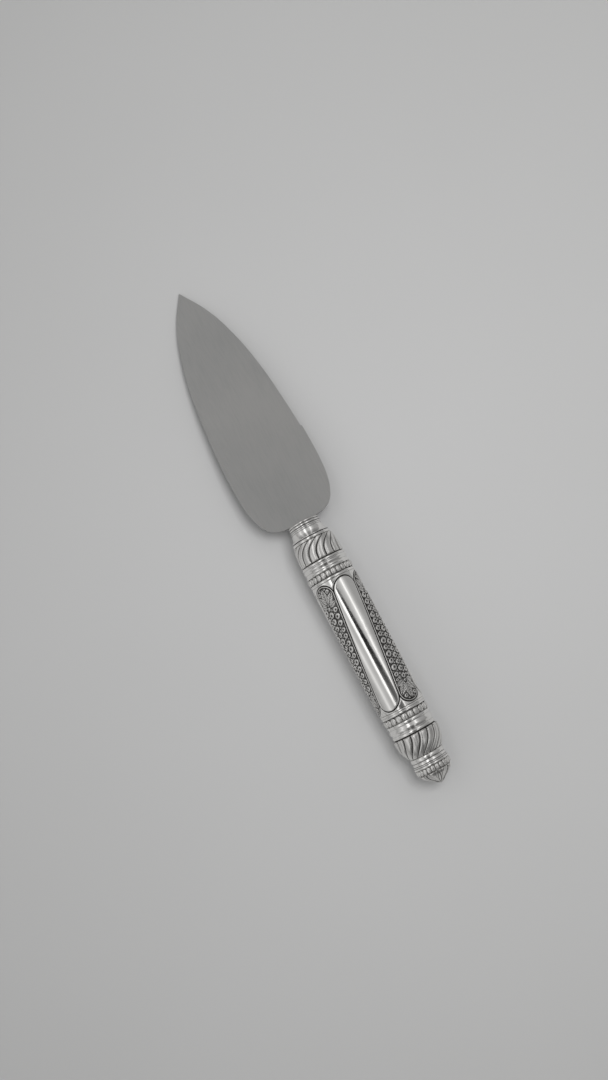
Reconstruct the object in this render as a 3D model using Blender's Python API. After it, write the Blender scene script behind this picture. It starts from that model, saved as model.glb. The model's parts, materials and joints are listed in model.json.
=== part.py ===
"""Cake server: a leaf-shaped steel blade in an ornate, hollow, resin-filled silver handle.

The frame has its origin at the centre of the footprint, on the table. +X points to the blade's tip and
+Z up. The handle lies level, and the blade dips from it until its tip meets the table. All sizes are in
metres. Distances written d run along the handle, from the mouth plane towards the butt.
"""

import math

import bmesh
import bpy
from mathutils import Vector

MM = 0.001

# Driving dimensions
HANDLE_LENGTH = 146.4 * MM
BLADE_LENGTH = 138.4 * MM
BLADE_THICKNESS = 1.5 * MM
AXIS_HEIGHT = 12.25 * MM  # the largest radius of the handle, so that the handle lies on the table
GAP = 0.3 * MM  # between neighbouring pieces

# Tang
TANG_LENGTH = 55.0 * MM
TANG_ROOT_HALF_WIDTH = 5.4 * MM
TANG_END_HALF_WIDTH = 3.4 * MM

# Cutting edge, on the -Y side, from the notch to the tip
NOTCH_PLACE = 44.5 * MM  # from the mouth plane
NOTCH_DEPTH = 0.6 * MM
GRIND_WIDTH = 1.8 * MM

# Repeats round the handle
LOBES = 16
PANELS = 6
UPPER_BEADS = 26
LOWER_BEADS = 22
BUTT_BEADS = 24
PETALS = 8

ROUND_SIDES = 36
SLEEVE_SIDES = 48
SLEEVE_TWIST_SIDES = 6  # sides by which the panels turn from end to end: 45 degrees
KNOP_SIDES = 3 * LOBES
KNOP_TWIST_SIDES = 5  # sides by which the lobes swirl from wide end to narrow end: 37.5 degrees
SIDES_PER_BEAD = 4

# Where the repeats start, as turns from the top of the handle towards -Y
PANEL_EDGE_TURN = math.radians(-12)  # an edge between two panels, at the sleeve's blade end
GROOVE_TURNS = {"neck_knop": math.radians(13), "butt_knop": math.radians(4.5)}  # at the wide end

DIP = math.asin((AXIS_HEIGHT - BLADE_THICKNESS / 2) / BLADE_LENGTH)
OVERALL_LENGTH = HANDLE_LENGTH + BLADE_LENGTH * math.cos(DIP)
MOUTH_X = HANDLE_LENGTH - OVERALL_LENGTH / 2


def make_material(name, colour, roughness, metallic):
    material = bpy.data.materials.new(name)
    material.use_nodes = True
    shader = material.node_tree.nodes["Principled BSDF"]
    shader.inputs["Base Color"].default_value = (*colour, 1.0)
    shader.inputs["Roughness"].default_value = roughness
    shader.inputs["Metallic"].default_value = metallic
    return material


def add_object(name, bm, material):
    """The bmesh as a named object, its faces pointing out and its round surfaces shaded smooth."""
    bmesh.ops.recalc_face_normals(bm, faces=bm.faces)
    mesh = bpy.data.meshes.new(name)
    bm.to_mesh(mesh)
    bm.free()
    mesh.shade_smooth()
    mesh.set_sharp_from_angle(angle=math.radians(40))
    mesh.materials.append(material)
    thing = bpy.data.objects.new(name, mesh)
    bpy.context.scene.collection.objects.link(thing)
    return thing


def on_handle(d, radius, turn):
    """A point at distance d from the mouth plane. The turn is 0 at the top and grows towards -Y."""
    return Vector((MOUTH_X - d, -radius * math.sin(turn), AXIS_HEIGHT + radius * math.cos(turn)))


def turned(name, outline, material, sides=ROUND_SIDES):
    """A piece turned on the handle's axis. The outline is the (d, radius) loop that it sweeps."""
    bm = bmesh.new()
    corners = [bm.verts.new(on_handle(d, radius, 0.0)) for d, radius in outline]
    closed = zip(corners, corners[1:] + corners[:1])
    edges = [bm.edges.new(pair) for pair in closed]
    bmesh.ops.spin(
        bm,
        geom=corners + edges,
        cent=(MOUTH_X, 0.0, AXIS_HEIGHT),
        axis=(1.0, 0.0, 0.0),
        angle=2 * math.pi,
        steps=sides,
        use_merge=True,
    )
    bmesh.ops.remove_doubles(bm, verts=bm.verts, dist=1e-6)
    return add_object(name, bm, material)


def ring_outline(profile, bore):
    """The outer (d, radius) profile closed by a straight bore."""
    return profile + [(profile[-1][0], bore), (profile[0][0], bore)]


def lobed_ring(name, rows, bore, sides, radius_at, material, twist_sides=0, start_turn=0.0):
    """A ring whose outside follows radius_at(row, share of a turn), over a plain straight bore.

    Each row is (d, share of the twist). Its points turn with the twist, so that the mesh follows a
    swirl, and the plain bore is joined to the twisted end by counting on by the whole twist.
    """
    step = 2 * math.pi / sides
    bm = bmesh.new()
    loops = []
    for row, (d, twisted) in enumerate(rows):
        turn = start_turn + twisted * twist_sides * step
        loops.append(
            [
                bm.verts.new(on_handle(d, radius_at(row, side / sides), side * step + turn))
                for side in range(sides)
            ]
        )
    for d in (rows[-1][0], rows[0][0]):
        turns = [start_turn + side * step for side in range(sides)]
        loops.append([bm.verts.new(on_handle(d, bore, turn)) for turn in turns])
    shifts = [0] * len(loops)
    shifts[len(rows) - 1] = round(rows[-1][1] * twist_sides)
    shifts[-1] = -round(rows[0][1] * twist_sides)
    for index, loop in enumerate(loops):
        after = loops[(index + 1) % len(loops)]
        shift = shifts[index]
        for side in range(sides):
            near = loop[side], loop[(side + 1) % sides]
            far = after[(side + 1 + shift) % sides], after[(side + shift) % sides]
            bm.faces.new((*near, *far))
    return add_object(name, bm, material)


def smooth_through(points, per_span):
    """Points along a smooth curve through the given ones (Catmull-Rom)."""
    padded = [2 * points[0] - points[1], *points, 2 * points[-1] - points[-2]]
    curve = []
    for before, start, end, after in zip(padded, padded[1:], padded[2:], padded[3:]):
        for number in range(per_span):
            t = number / per_span
            leave = (end - before) / 2 * t * (1 - t) ** 2
            arrive = (after - start) / 2 * t**2 * (t - 1)
            blend = t * t * (3 - 2 * t)
            curve.append(start * (1 - blend) + end * blend + leave + arrive)
    return curve + [points[-1]]


# Blade


def blade_half_outline():
    """One side of the leaf from the root to the tip, as (distance from the mouth, half width)."""
    stations = [
        (0.0, 9.0),
        (1.0, 13.2),
        (3.5, 17.2),
        (8.0, 20.1),
        (15.0, 22.2),
        (24.0, 23.2),
        (36.0, 23.4),
        (60.0, 22.2),
        (85.0, 19.5),
        (106.0, 15.1),
        (123.0, 9.0),
        (BLADE_LENGTH / MM, 0.0),
    ]
    return smooth_through([Vector(station) * MM for station in stations], 3)


def dipped(along, across, up):
    """A point of the blade, which dips beyond the mouth plane; the tang stays level behind it."""
    if along >= 0:
        along, up = (
            along * math.cos(DIP) + up * math.sin(DIP),
            up * math.cos(DIP) - along * math.sin(DIP),
        )
    return Vector((MOUTH_X + along, across, AXIS_HEIGHT + up))


def tang_outline(clearance):
    """Half outline of the tang, behind the mouth plane, grown by a clearance."""
    end = -TANG_LENGTH - clearance
    return [(end, TANG_END_HALF_WIDTH + clearance), (0.0, TANG_ROOT_HALF_WIDTH + clearance)]


def make_blade(material):
    """Leaf and tang in one piece. The edge on the -Y side is ground from below."""
    plain_side = [(point.x, point.y, 0.0) for point in blade_half_outline()]
    ground_side = []
    for along, across, _ in plain_side[1:-1]:
        if along < NOTCH_PLACE:
            ground_side.append((along, -across, 0.0))
            continue
        share = (BLADE_LENGTH - along) / (BLADE_LENGTH - NOTCH_PLACE)
        ground_side.append((along, -(across - NOTCH_DEPTH * share), GRIND_WIDTH))
    ground_side.insert(0, (plain_side[0][0], -plain_side[0][1], 0.0))
    leaf = plain_side + ground_side[::-1]
    tang = [(along, across, 0.0) for along, across in tang_outline(0.0)]
    tang += [(along, -across, 0.0) for along, across in reversed(tang_outline(0.0))]

    bm = bmesh.new()
    half = BLADE_THICKNESS / 2
    made = {}

    def corner(point, side):
        along, across, grind = point
        if side < 0:
            across += grind
        key = (round(along / MM, 4), round(across / MM, 4), side)
        if key not in made:
            made[key] = bm.verts.new(dipped(along, across, side * half))
        return made[key]

    # The leaf's root edge is split where the tang joins it.
    root = [tang[2], tang[1]]
    leaf_loop = leaf + root
    for side in (1, -1):
        bm.faces.new([corner(point, side) for point in leaf_loop])
        bm.faces.new([corner(point, side) for point in tang])
    for loop, skipped in ((leaf_loop, len(leaf)), (tang, 1)):
        for number, point in enumerate(loop):
            if number == skipped:
                continue
            after = loop[(number + 1) % len(loop)]
            wall = [corner(point, 1), corner(after, 1), corner(after, -1), corner(point, -1)]
            bm.faces.new(wall)
    bmesh.ops.triangulate(bm, faces=bm.faces)
    return add_object("blade", bm, material)


def tang_cutter(name, front):
    """A closed block the size of the tang with its clearance, from its end to a distance in front."""
    half_outline = tang_outline(GAP)
    half_outline[1] = (front, half_outline[1][1])
    outline = half_outline + [(along, -across) for along, across in reversed(half_outline)]
    height = BLADE_THICKNESS / 2 + GAP
    bm = bmesh.new()
    corners = [bm.verts.new((MOUTH_X + x, y, AXIS_HEIGHT - height)) for x, y in outline]
    face = bm.faces.new(corners)
    grown = bmesh.ops.extrude_face_region(bm, geom=[face])
    raised = [item for item in grown["geom"] if isinstance(item, bmesh.types.BMVert)]
    bmesh.ops.translate(bm, verts=raised, vec=(0.0, 0.0, 2 * height))
    cutter = add_object(name, bm, STEEL)
    cutter.hide_render = True
    cutter.display_type = "WIRE"
    return cutter


def cut(thing, cutter):
    modifier = thing.modifiers.new("tang slot", "BOOLEAN")
    modifier.operation = "DIFFERENCE"
    modifier.object = cutter


# Handle


def mm_profile(pairs):
    return [(d * MM, radius * MM) for d, radius in pairs]


# Plain turned pieces: the outer profile from the blade side to the butt side, and the bore, in mm
PLAIN_PIECES = {
    "mouth_ring": ([(0.3, 7.9), (0.7, 8.3), (1.15, 8.3), (1.4, 8.0), (1.75, 8.3), (2.5, 8.3)], 7.0),
    "neck_collar": ([(2.8, 8.3), (4.7, 8.5), (7.0, 9.1), (8.7, 10.0)], 7.0),
    "neck_ring": ([(9.0, 9.9), (9.4, 10.35), (10.3, 10.35), (10.7, 10.0)], 8.6),
    "neck_moulding": (
        [
            (22.2, 11.8),
            (23.2, 11.8),
            (23.5, 11.4),
            (24.0, 11.8),
            (24.7, 12.1),
            (25.4, 11.8),
            (26.2, 11.4),
            (27.1, 11.9),
            (28.0, 11.9),
        ],
        10.4,
    ),
    "upper_fillet": ([(31.8, 11.7), (32.1, 12.1), (32.85, 12.1), (33.15, 11.8)], 10.4),
    "lower_fillet": ([(104.9, 11.7), (105.2, 12.05), (106.8, 12.05), (107.1, 11.7)], 10.4),
    "lower_moulding": (
        [
            (111.1, 11.6),
            (112.5, 11.6),
            (112.9, 11.2),
            (113.7, 11.6),
            (114.5, 11.9),
            (115.4, 11.6),
            (116.2, 11.2),
            (116.8, 11.6),
            (118.0, 11.6),
        ],
        10.4,
    ),
    "waist_ring": ([(130.2, 8.6), (130.6, 9.1), (132.0, 9.1), (132.4, 8.7)], 7.2),
    "butt_collar": ([(132.7, 8.8), (133.6, 9.0), (134.8, 9.4), (135.9, 9.5)], 7.2),
}
BEAD_BANDS = {  # start, end, radius over the beads, radius between them, bore, beads
    "upper_beading": (28.3, 31.5, 12.25, 11.3, 10.4, UPPER_BEADS),
    "lower_beading": (107.4, 110.8, 12.0, 11.2, 10.4, LOWER_BEADS),
    "butt_beading": (136.2, 139.0, 9.35, 8.6, 7.2, BUTT_BEADS),
}
KNOPS = {  # rows from the wide end to the narrow end as (d, radius over the lobes), and the bore
    "neck_knop": (
        [(21.9, 11.1), (21.1, 11.6), (19.2, 11.65), (16.8, 11.5), (14.1, 11.2), (11.0, 10.7)],
        9.4,
        1,
    ),
    "butt_knop": (
        [(118.3, 11.6), (119.3, 12.1), (121.4, 12.1), (124.1, 11.5), (127.0, 10.4), (129.9, 9.0)],
        7.2,
        -1,
    ),
}
GROOVE_DEPTH = 0.9 * MM
SLEEVE_START = 33.45 * MM
SLEEVE_END = 104.6 * MM
SLEEVE_RADIUS = 11.8 * MM
PANEL_RISE = 0.4 * MM
SLEEVE_BORE = 10.9 * MM
MOUTH_PLATE = (0.5 * MM, 1.5 * MM, 6.7 * MM)  # start, end, radius
FILLER_START = 1.8 * MM
BUD_PROFILE = [(139.3, 7.9), (139.8, 8.2), (141.0, 7.6), (142.4, 5.8), (144.2, 2.9), (146.4, 0.0)]


def make_bead_band(name, start, end, crest, valley, bore, beads, material):
    """One closed ring whose outside swells into round beads."""
    sides = beads * SIDES_PER_BEAD
    swell = [0.0, 0.75, 1.0, 0.75, 0.0]
    places = [start + (end - start) * row / (len(swell) - 1) for row in range(len(swell))]
    rows = [(place * MM, 0.0) for place in places]

    def radius_at(row, share):
        bulge = math.sin(math.pi * (share * beads % 1.0))
        return (valley + (crest - valley) * swell[row] * bulge) * MM

    return lobed_ring(name, rows, bore * MM, sides, radius_at, material)


def make_knop(name, profile, bore, direction, material):
    """A gadroon knop: lobes with deep grooves between them, which swirl towards the narrow end."""
    length = abs(profile[-1][0] - profile[0][0])
    rows = []
    for d, _ in profile:
        share = abs(d - profile[0][0]) / length
        rows.append((d * MM, share**2.2))

    def radius_at(row, share):
        in_groove = abs(share * LOBES - round(share * LOBES)) < 1e-6
        return profile[row][1] * MM - (GROOVE_DEPTH if in_groove else 0.0)

    twist = KNOP_TWIST_SIDES * direction
    start = GROOVE_TURNS[name]
    return lobed_ring(name, rows, bore * MM, KNOP_SIDES, radius_at, material, twist, start)


def make_sleeve(material):
    """The grip: six twisted panels, alternately plain and chased, which rise a little in the middle."""
    strips = 12
    rows = []
    for number in range(strips + 1):
        share = number / strips
        rows.append((SLEEVE_START + (SLEEVE_END - SLEEVE_START) * share, share))

    def radius_at(row, share):
        ends = min(1.0, 3.0 * math.sin(math.pi * row / strips))
        rise = abs(math.sin(math.pi * PANELS * share))
        return SLEEVE_RADIUS + PANEL_RISE * ends * rise

    sizes = rows, SLEEVE_BORE, SLEEVE_SIDES
    twist = -SLEEVE_TWIST_SIDES
    return lobed_ring("body_sleeve", *sizes, radius_at, material, twist, PANEL_EDGE_TURN)


def make_bud(material):
    """Pointed bud of folded petals, closed at its back."""
    profile = mm_profile(BUD_PROFILE)
    sides = 4 * PETALS
    step = 2 * math.pi / sides
    bm = bmesh.new()
    loops = []
    for d, radius in profile[:-1]:
        loop = []
        for side in range(sides):
            fold = 0.93 + 0.07 * abs(math.sin(math.pi * side * PETALS / sides))
            loop.append(bm.verts.new(on_handle(d, radius * fold, side * step)))
        loops.append(loop)
    for loop, after in zip(loops, loops[1:]):
        for side in range(sides):
            beyond = (side + 1) % sides
            bm.faces.new((loop[side], loop[beyond], after[beyond], after[side]))
    tip = bm.verts.new(on_handle(*profile[-1], 0.0))
    back = bm.verts.new(on_handle(profile[0][0], 0.0, 0.0))
    for side in range(sides):
        beyond = (side + 1) % sides
        bm.faces.new((loops[-1][side], loops[-1][beyond], tip))
        bm.faces.new((loops[0][beyond], loops[0][side], back))
    return add_object("finial_bud", bm, material)


def filler_profile():
    """The resin core: it fills each piece's bore to within the gap, and steps where the bores step."""
    zones = [(profile[0][0], profile[-1][0], bore) for profile, bore in PLAIN_PIECES.values()]
    zones += [(start, end, bore) for start, end, _, _, bore, _ in BEAD_BANDS.values()]
    zones += [(min(rows)[0], max(rows)[0], bore) for rows, bore, _ in KNOPS.values()]
    zones = [tuple(size * MM for size in zone) for zone in zones]
    zones.append((SLEEVE_START, SLEEVE_END, SLEEVE_BORE))
    zones.sort()
    first = (FILLER_START, zones[0][2] - GAP)
    outline = [(FILLER_START, 0.0), first]
    for zone, after in zip(zones, zones[1:]):
        if after[2] > zone[2]:
            place = after[0]
        elif after[2] < zone[2]:
            place = zone[1]
        else:
            continue
        outline += [(place, zone[2] - GAP), (place, after[2] - GAP)]
    end = zones[-1][1]
    return outline + [(end, zones[-1][2] - GAP), (end, 0.0)]


def make_mouth_plate(material):
    start, end, radius = MOUTH_PLATE
    outline = [(start, 0.0), (start, radius), (end, radius), (end, 0.0)]
    return turned("mouth_plate", outline, material)


for old in list(bpy.data.objects):
    bpy.data.objects.remove(old)

STEEL = make_material("satin_steel", (0.42, 0.42, 0.41), 0.38, 1.0)
SILVER = make_material("polished_silver", (0.83, 0.82, 0.80), 0.16, 1.0)
OXIDISED = make_material("oxidised_silver", (0.55, 0.54, 0.52), 0.3, 1.0)
RESIN = make_material("handle_resin", (0.12, 0.07, 0.04), 0.6, 0.0)

make_blade(STEEL)
for piece, (outer, inner) in PLAIN_PIECES.items():
    turned(piece, ring_outline(mm_profile(outer), inner * MM), SILVER)
for piece, sizes in BEAD_BANDS.items():
    make_bead_band(piece, *sizes, OXIDISED)
for piece, (shape, inner, swirl) in KNOPS.items():
    make_knop(piece, shape, inner, swirl, OXIDISED)
make_sleeve(OXIDISED)
make_bud(SILVER)

cut(make_mouth_plate(SILVER), tang_cutter("mouth_slot_cutter", 2 * MM))
cut(turned("core_filler", filler_profile(), RESIN, 24), tang_cutter("tang_pocket_cutter", 1 * MM))
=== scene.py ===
# %% [markdown]
# # Cake server with an ornate silver handle
#
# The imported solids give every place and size. This lesson models the finished surfaces over them: a
# satin steel blade, and a silver handle of turned rings, bead rings, swirled knops, a grip with six
# twisted panels and a pointed bud. Each step says what the piece is on the real object, how it could be
# made in Blender, and why one way was chosen.

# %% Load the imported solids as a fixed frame
import json
import math
import random

import bpy
import numpy as np
from mathutils import Matrix, Vector


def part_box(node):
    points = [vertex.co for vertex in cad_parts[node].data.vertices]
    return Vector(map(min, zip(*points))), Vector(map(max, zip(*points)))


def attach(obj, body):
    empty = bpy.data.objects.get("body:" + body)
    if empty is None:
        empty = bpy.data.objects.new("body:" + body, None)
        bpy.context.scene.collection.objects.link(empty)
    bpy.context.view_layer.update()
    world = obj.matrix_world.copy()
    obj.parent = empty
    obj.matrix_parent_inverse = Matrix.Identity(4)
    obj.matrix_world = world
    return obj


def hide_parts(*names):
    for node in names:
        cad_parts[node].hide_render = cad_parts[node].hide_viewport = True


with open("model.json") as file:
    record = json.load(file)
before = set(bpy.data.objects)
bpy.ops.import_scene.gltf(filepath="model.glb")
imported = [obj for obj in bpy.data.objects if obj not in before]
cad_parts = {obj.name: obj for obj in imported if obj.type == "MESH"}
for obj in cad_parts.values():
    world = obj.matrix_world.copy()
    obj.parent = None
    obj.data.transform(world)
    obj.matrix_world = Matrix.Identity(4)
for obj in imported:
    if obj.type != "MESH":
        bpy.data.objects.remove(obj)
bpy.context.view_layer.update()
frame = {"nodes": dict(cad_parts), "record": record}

MM = 0.001
scene = bpy.context.scene

# %% [markdown]
# Everything on the handle is round, so its pieces are easiest to describe by three numbers: d, the
# distance from the mouth plane towards the butt, the radius, and the turn about the axis, which is 0 at
# the top and grows towards -Y. The axis, the mouth plane and the blade's dip are read from the frame.

# %% Axis, mouth and dip, read from the frame
GAP = 0.3 * MM  # between neighbouring solids
bud_low, bud_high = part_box("finial_bud")
AXIS_Z = (bud_low.z + bud_high.z) / 2
MOUTH_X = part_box("mouth_ring")[1].x + GAP
blade_face = next(m for m in frame["record"]["mounts"] if m["name"] == "blade_top")
DIP = math.asin(blade_face["axis"][0])
print(f"axis at z {AXIS_Z / MM:.2f} mm, mouth at x {MOUTH_X / MM:.2f} mm, dip {math.degrees(DIP):.2f}")


def on_handle(d, radius, turn):
    """The point at distance d (metres) from the mouth, at a radius and a turn about the axis."""
    return Vector((MOUTH_X - d, -radius * math.sin(turn), AXIS_Z + radius * math.cos(turn)))


def span(node):
    """Where a solid starts and ends along the handle, grown to meet its neighbours, in mm."""
    low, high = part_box(node)
    return (MOUTH_X - high.x - GAP / 2) / MM, (MOUTH_X - low.x + GAP / 2) / MM


# %% [markdown]
# The camera looks down on the server from about 65 cm, tilted by a few degrees, with a lens a little
# longer than a normal one. It comes first, so that each piece can be checked through it as it is made.

# %% Camera
VIEW_DISTANCE = 0.655
VIEW_TILT = math.radians(6.8)
VIEW_HEADING = math.radians(62.04)  # turn of the picture round the upright
LENS_MM = 43.3
AIM_SHIFT = (-0.00123, 0.0140)  # how far off the middle the mouth plane stands

across = Vector((-math.cos(VIEW_HEADING), -math.sin(VIEW_HEADING), 0))
level_up = Vector((math.sin(VIEW_HEADING), -math.cos(VIEW_HEADING), 0))
upright = Vector((0, 0, 1))
look = level_up * math.sin(VIEW_TILT) - upright * math.cos(VIEW_TILT)
up = level_up * math.cos(VIEW_TILT) + upright * math.sin(VIEW_TILT)
aim = look + across * AIM_SHIFT[0] + up * AIM_SHIFT[1]
bpy.ops.object.camera_add()
camera = bpy.context.object
camera.name = "camera"
camera.data.lens = LENS_MM
camera.data.clip_start = 0.01
camera.matrix_world = Matrix.Translation(on_handle(0, 0, 0) - aim * VIEW_DISTANCE) @ Matrix(
    (across, up, -look)
).transposed().to_4x4()
scene.camera = camera
print("camera at", [round(x, 3) for x in camera.location])

# %% [markdown]
# Every finish, and the room too, is a small graph of nodes. A few short helpers keep each graph readable:
# one adds a node with its settings, and the others add the steps that come back again and again.

# %% A few short words for building node trees


def new_material(name):
    material = bpy.data.materials.new(name)
    material.use_nodes = True
    return material, material.node_tree, material.node_tree.nodes["Principled BSDF"]


def add_node(tree, kind, **settings):
    """A node with its sockets (by name) and its properties set."""
    node = tree.nodes.new("ShaderNode" + kind)
    for key, value in settings.items():
        if key in node.inputs:
            node.inputs[key].default_value = value
        else:
            setattr(node, key, value)
    return node


def noise(tree, scale, detail=3.0, stretch=(1, 1, 1)):
    """Noise in the piece's own coordinates, in metres, which a stretch draws out into streaks."""
    place = add_node(tree, "TexCoord")
    mapping = add_node(tree, "Mapping", Scale=stretch)
    pattern = add_node(tree, "TexNoise", Scale=scale, Detail=detail)
    tree.links.new(place.outputs["Object"], mapping.inputs["Vector"])
    tree.links.new(mapping.outputs["Vector"], pattern.inputs["Vector"])
    return pattern.outputs["Fac"]


def remap(tree, value, low, high, to_low, to_high):
    node = add_node(tree, "MapRange")
    tree.links.new(value, node.inputs["Value"])
    limits = {"From Min": low, "From Max": high, "To Min": to_low, "To Max": to_high}
    for key, number in limits.items():
        node.inputs[key].default_value = number
    return node.outputs["Result"]


def arithmetic(tree, operation, first, second):
    """One step of arithmetic, on numbers or on sockets."""
    node = add_node(tree, "Math", operation=operation)
    for socket, value in zip(node.inputs, (first, second)):
        if isinstance(value, (int, float)):
            socket.default_value = value
        else:
            tree.links.new(value, socket)
    return node.outputs["Value"]


def mix_colours(tree, share, first, second):
    node = add_node(tree, "Mix", data_type="RGBA")
    tree.links.new(share, node.inputs["Factor"])
    for socket, value in ((node.inputs[6], first), (node.inputs[7], second)):
        if isinstance(value, tuple):
            socket.default_value = (*value, 1)
        else:
            tree.links.new(value, socket)
    return node.outputs[2]


def bump(tree, shader, height, distance, strength=1.0):
    node = add_node(tree, "Bump", Strength=strength, Distance=distance)
    tree.links.new(height, node.inputs["Height"])
    tree.links.new(node.outputs["Normal"], shader.inputs["Normal"])


# %% [markdown]
# The server lies on a plain pale sheet, under one soft lamp that lights the sheet and keeps the shadows
# close. The lamp itself doesn't show in the silver.

# %% Sheet and lamp
FLOOR_SIZE = 6.0
FLOOR_DROP = 0.0002  # below the server, so that the two never share a plane
LAMP_PLACE = (0, -0.25, 1.0)
LAMP_TILT = -0.245  # radians about X, which points it at the server
LAMP_SIZE = 0.5
LAMP_WATTS = 4.9

bpy.ops.mesh.primitive_plane_add(size=FLOOR_SIZE, location=(0, 0, -FLOOR_DROP))
floor = bpy.context.object
floor.name = "floor"
bpy.ops.object.light_add(type="AREA", location=LAMP_PLACE, rotation=(LAMP_TILT, 0, 0))
lamp = bpy.context.object
lamp.name = "soft_lamp"
lamp.data.size = LAMP_SIZE
lamp.data.energy = LAMP_WATTS
lamp.visible_glossy = False
print("lamp:", LAMP_WATTS, "W at", LAMP_PLACE)

# %% [markdown]
# Polished silver is a mirror, so what stands round it is the real finish of this piece: a soft room with
# brighter bands along the grip, and one dark streak that widens towards the butt. Cards could be hung for
# each band, but a world whose brightness is a colour ramp round the handle's axis holds them all in one
# list of stops. A second ramp dims the room towards its ends, and the streak is a wedge cut out of both.

# %% Bands, streak and ends of the room
BAND_CENTRE = -9.8  # the turn about the handle's axis, in degrees, that the bands are measured from
BAND_TAPER = -6.0  # how fast the bands on the far side draw in along the handle
BAND_LIMITS = (-0.2, 0.25)  # the most that they spread and draw in, as a share of their turn
ROOM_BANDS = [  # turn in degrees from the centre, brightness
    (-85, 0.34), (-60, 0.52), (-47, 0.88), (-37, 0.60), (-26, 0.50), (-20, 0.54), (-15, 1.20),
    (-7, 1.55), (-3, 1.20), (0, 0.62), (6, 0.44), (15, 0.52), (23, 0.68), (29, 1.30), (34, 0.78),
    (41, 0.48), (52, 0.36), (75, 0.36), (95, 0.30),
]
STREAK_LEFT = -15.0  # the turn at which it starts
STREAK_SIDES = [  # where its two straight parts come to a point in X, degrees of width for each unit of X
    (0.105, 190.0),
    (0.080, 420.0),
]
STREAK_WIDEST = 27.0
STREAK_FADE = (-0.06, 0.01)  # the X parts between which its shade changes
STREAK_SHADES = (0.36, 0.02)  # brightness left inside it, towards the butt and towards the blade
STREAK_EDGE = 2.5  # degrees over which its edge softens
FLARE_FADE = (-0.065, -0.040)  # from the second X part to the first, its left side moves further left
FLARE = 16.0  # by so many degrees
ROOM_ENDS = [  # X part of a direction, share of the bands' brightness left there
    (-1.0, 0.4), (-0.75, 0.5), (-0.50, 1.0), (-0.20, 0.9), (-0.05, 1.0), (0.20, 1.0), (0.28, 0.76),
    (0.42, 0.92), (0.60, 0.98), (0.85, 0.45),
]
print("room:", len(ROOM_BANDS), "bands,", len(ROOM_ENDS), "steps along it")

# %% Parts of the room's graph


def colour_ramp(tree, value, stops, reach, unit=1.0):
    """Grey stops (place, level) over places from -reach to reach. The unit is the value at place 1."""
    share = arithmetic(tree, "ADD", arithmetic(tree, "DIVIDE", value, 2 * reach * unit), 0.5)
    ramp = tree.nodes.new("ShaderNodeValToRGB")
    tree.links.new(share, ramp.inputs["Fac"])
    for _ in range(len(stops) - 2):
        ramp.color_ramp.elements.new(0.5)
    for stop, (place, level) in zip(ramp.color_ramp.elements, stops):
        stop.position = 0.5 + place / reach / 2
        stop.color = (level, level, level, 1)
    return ramp.outputs["Color"]


def dark_streak(tree, x, turn):
    """Brightness left by a wedge round the handle: 1 outside it, and its shade inside."""
    width = math.radians(STREAK_WIDEST)
    for point, spread in STREAK_SIDES:
        side = arithmetic(tree, "MULTIPLY", arithmetic(tree, "SUBTRACT", point, x), math.radians(spread))
        width = arithmetic(tree, "MINIMUM", side, width)
    flare = remap(tree, x, *FLARE_FADE, math.radians(FLARE), 0.0)
    width = arithmetic(tree, "ADD", width, flare)
    half = arithmetic(tree, "MULTIPLY", width, 0.5)
    start = arithmetic(tree, "SUBTRACT", math.radians(STREAK_LEFT), flare)
    inwards = arithmetic(tree, "SUBTRACT", turn, start)
    beside = arithmetic(tree, "ABSOLUTE", arithmetic(tree, "SUBTRACT", inwards, half), 0)
    beside = arithmetic(tree, "SUBTRACT", beside, half)
    outside = remap(tree, beside, 0.0, math.radians(STREAK_EDGE), 0.0, 1.0)
    shade = remap(tree, x, *STREAK_FADE, *STREAK_SHADES)
    return arithmetic(tree, "MAXIMUM", outside, shade)


def multiply_colours(tree, first, second):
    node = add_node(tree, "Mix", data_type="RGBA", blend_type="MULTIPLY")
    node.inputs["Factor"].default_value = 1
    tree.links.new(first, node.inputs[6])
    tree.links.new(second, node.inputs[7])
    return node.outputs[2]


# %% [markdown]
# The world is then the two ramps and the streak multiplied. The camera looks past the sheet in the low
# views, and there it sees only a plain backdrop, because the bands are meant for the silver.

# %% The room as a world
BACKDROP = (0.50, 0.50, 0.50)


def build_room():
    world = bpy.data.worlds.new("soft_room")
    world.use_nodes = True
    tree = world.node_tree
    place = add_node(tree, "TexCoord")
    parts = add_node(tree, "SeparateXYZ")
    tree.links.new(place.outputs["Generated"], parts.inputs[0])
    x, y, z = parts.outputs
    turn = arithmetic(tree, "ARCTAN2", arithmetic(tree, "MULTIPLY", y, -1), z)
    streak = dark_streak(tree, x, turn)
    turn = arithmetic(tree, "SUBTRACT", turn, math.radians(BAND_CENTRE))
    taper = arithmetic(tree, "MULTIPLY", x, BAND_TAPER)
    taper = arithmetic(tree, "MAXIMUM", taper, BAND_LIMITS[0])
    taper = arithmetic(tree, "MINIMUM", taper, BAND_LIMITS[1])
    far_side = arithmetic(tree, "MAXIMUM", turn, 0)
    turn = arithmetic(tree, "ADD", turn, arithmetic(tree, "MULTIPLY", far_side, taper))
    bands = colour_ramp(tree, turn, ROOM_BANDS, 90, math.radians(1))
    ends = colour_ramp(tree, x, ROOM_ENDS, 1)
    light = multiply_colours(tree, multiply_colours(tree, bands, ends), streak)
    seen = add_node(tree, "LightPath").outputs["Is Camera Ray"]
    light = mix_colours(tree, seen, light, BACKDROP)
    tree.links.new(light, tree.nodes["Background"].inputs["Color"])
    return world


scene.world = build_room()
scene.view_settings.view_transform = "Standard"
print("room nodes:", len(scene.world.node_tree.nodes))

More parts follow.
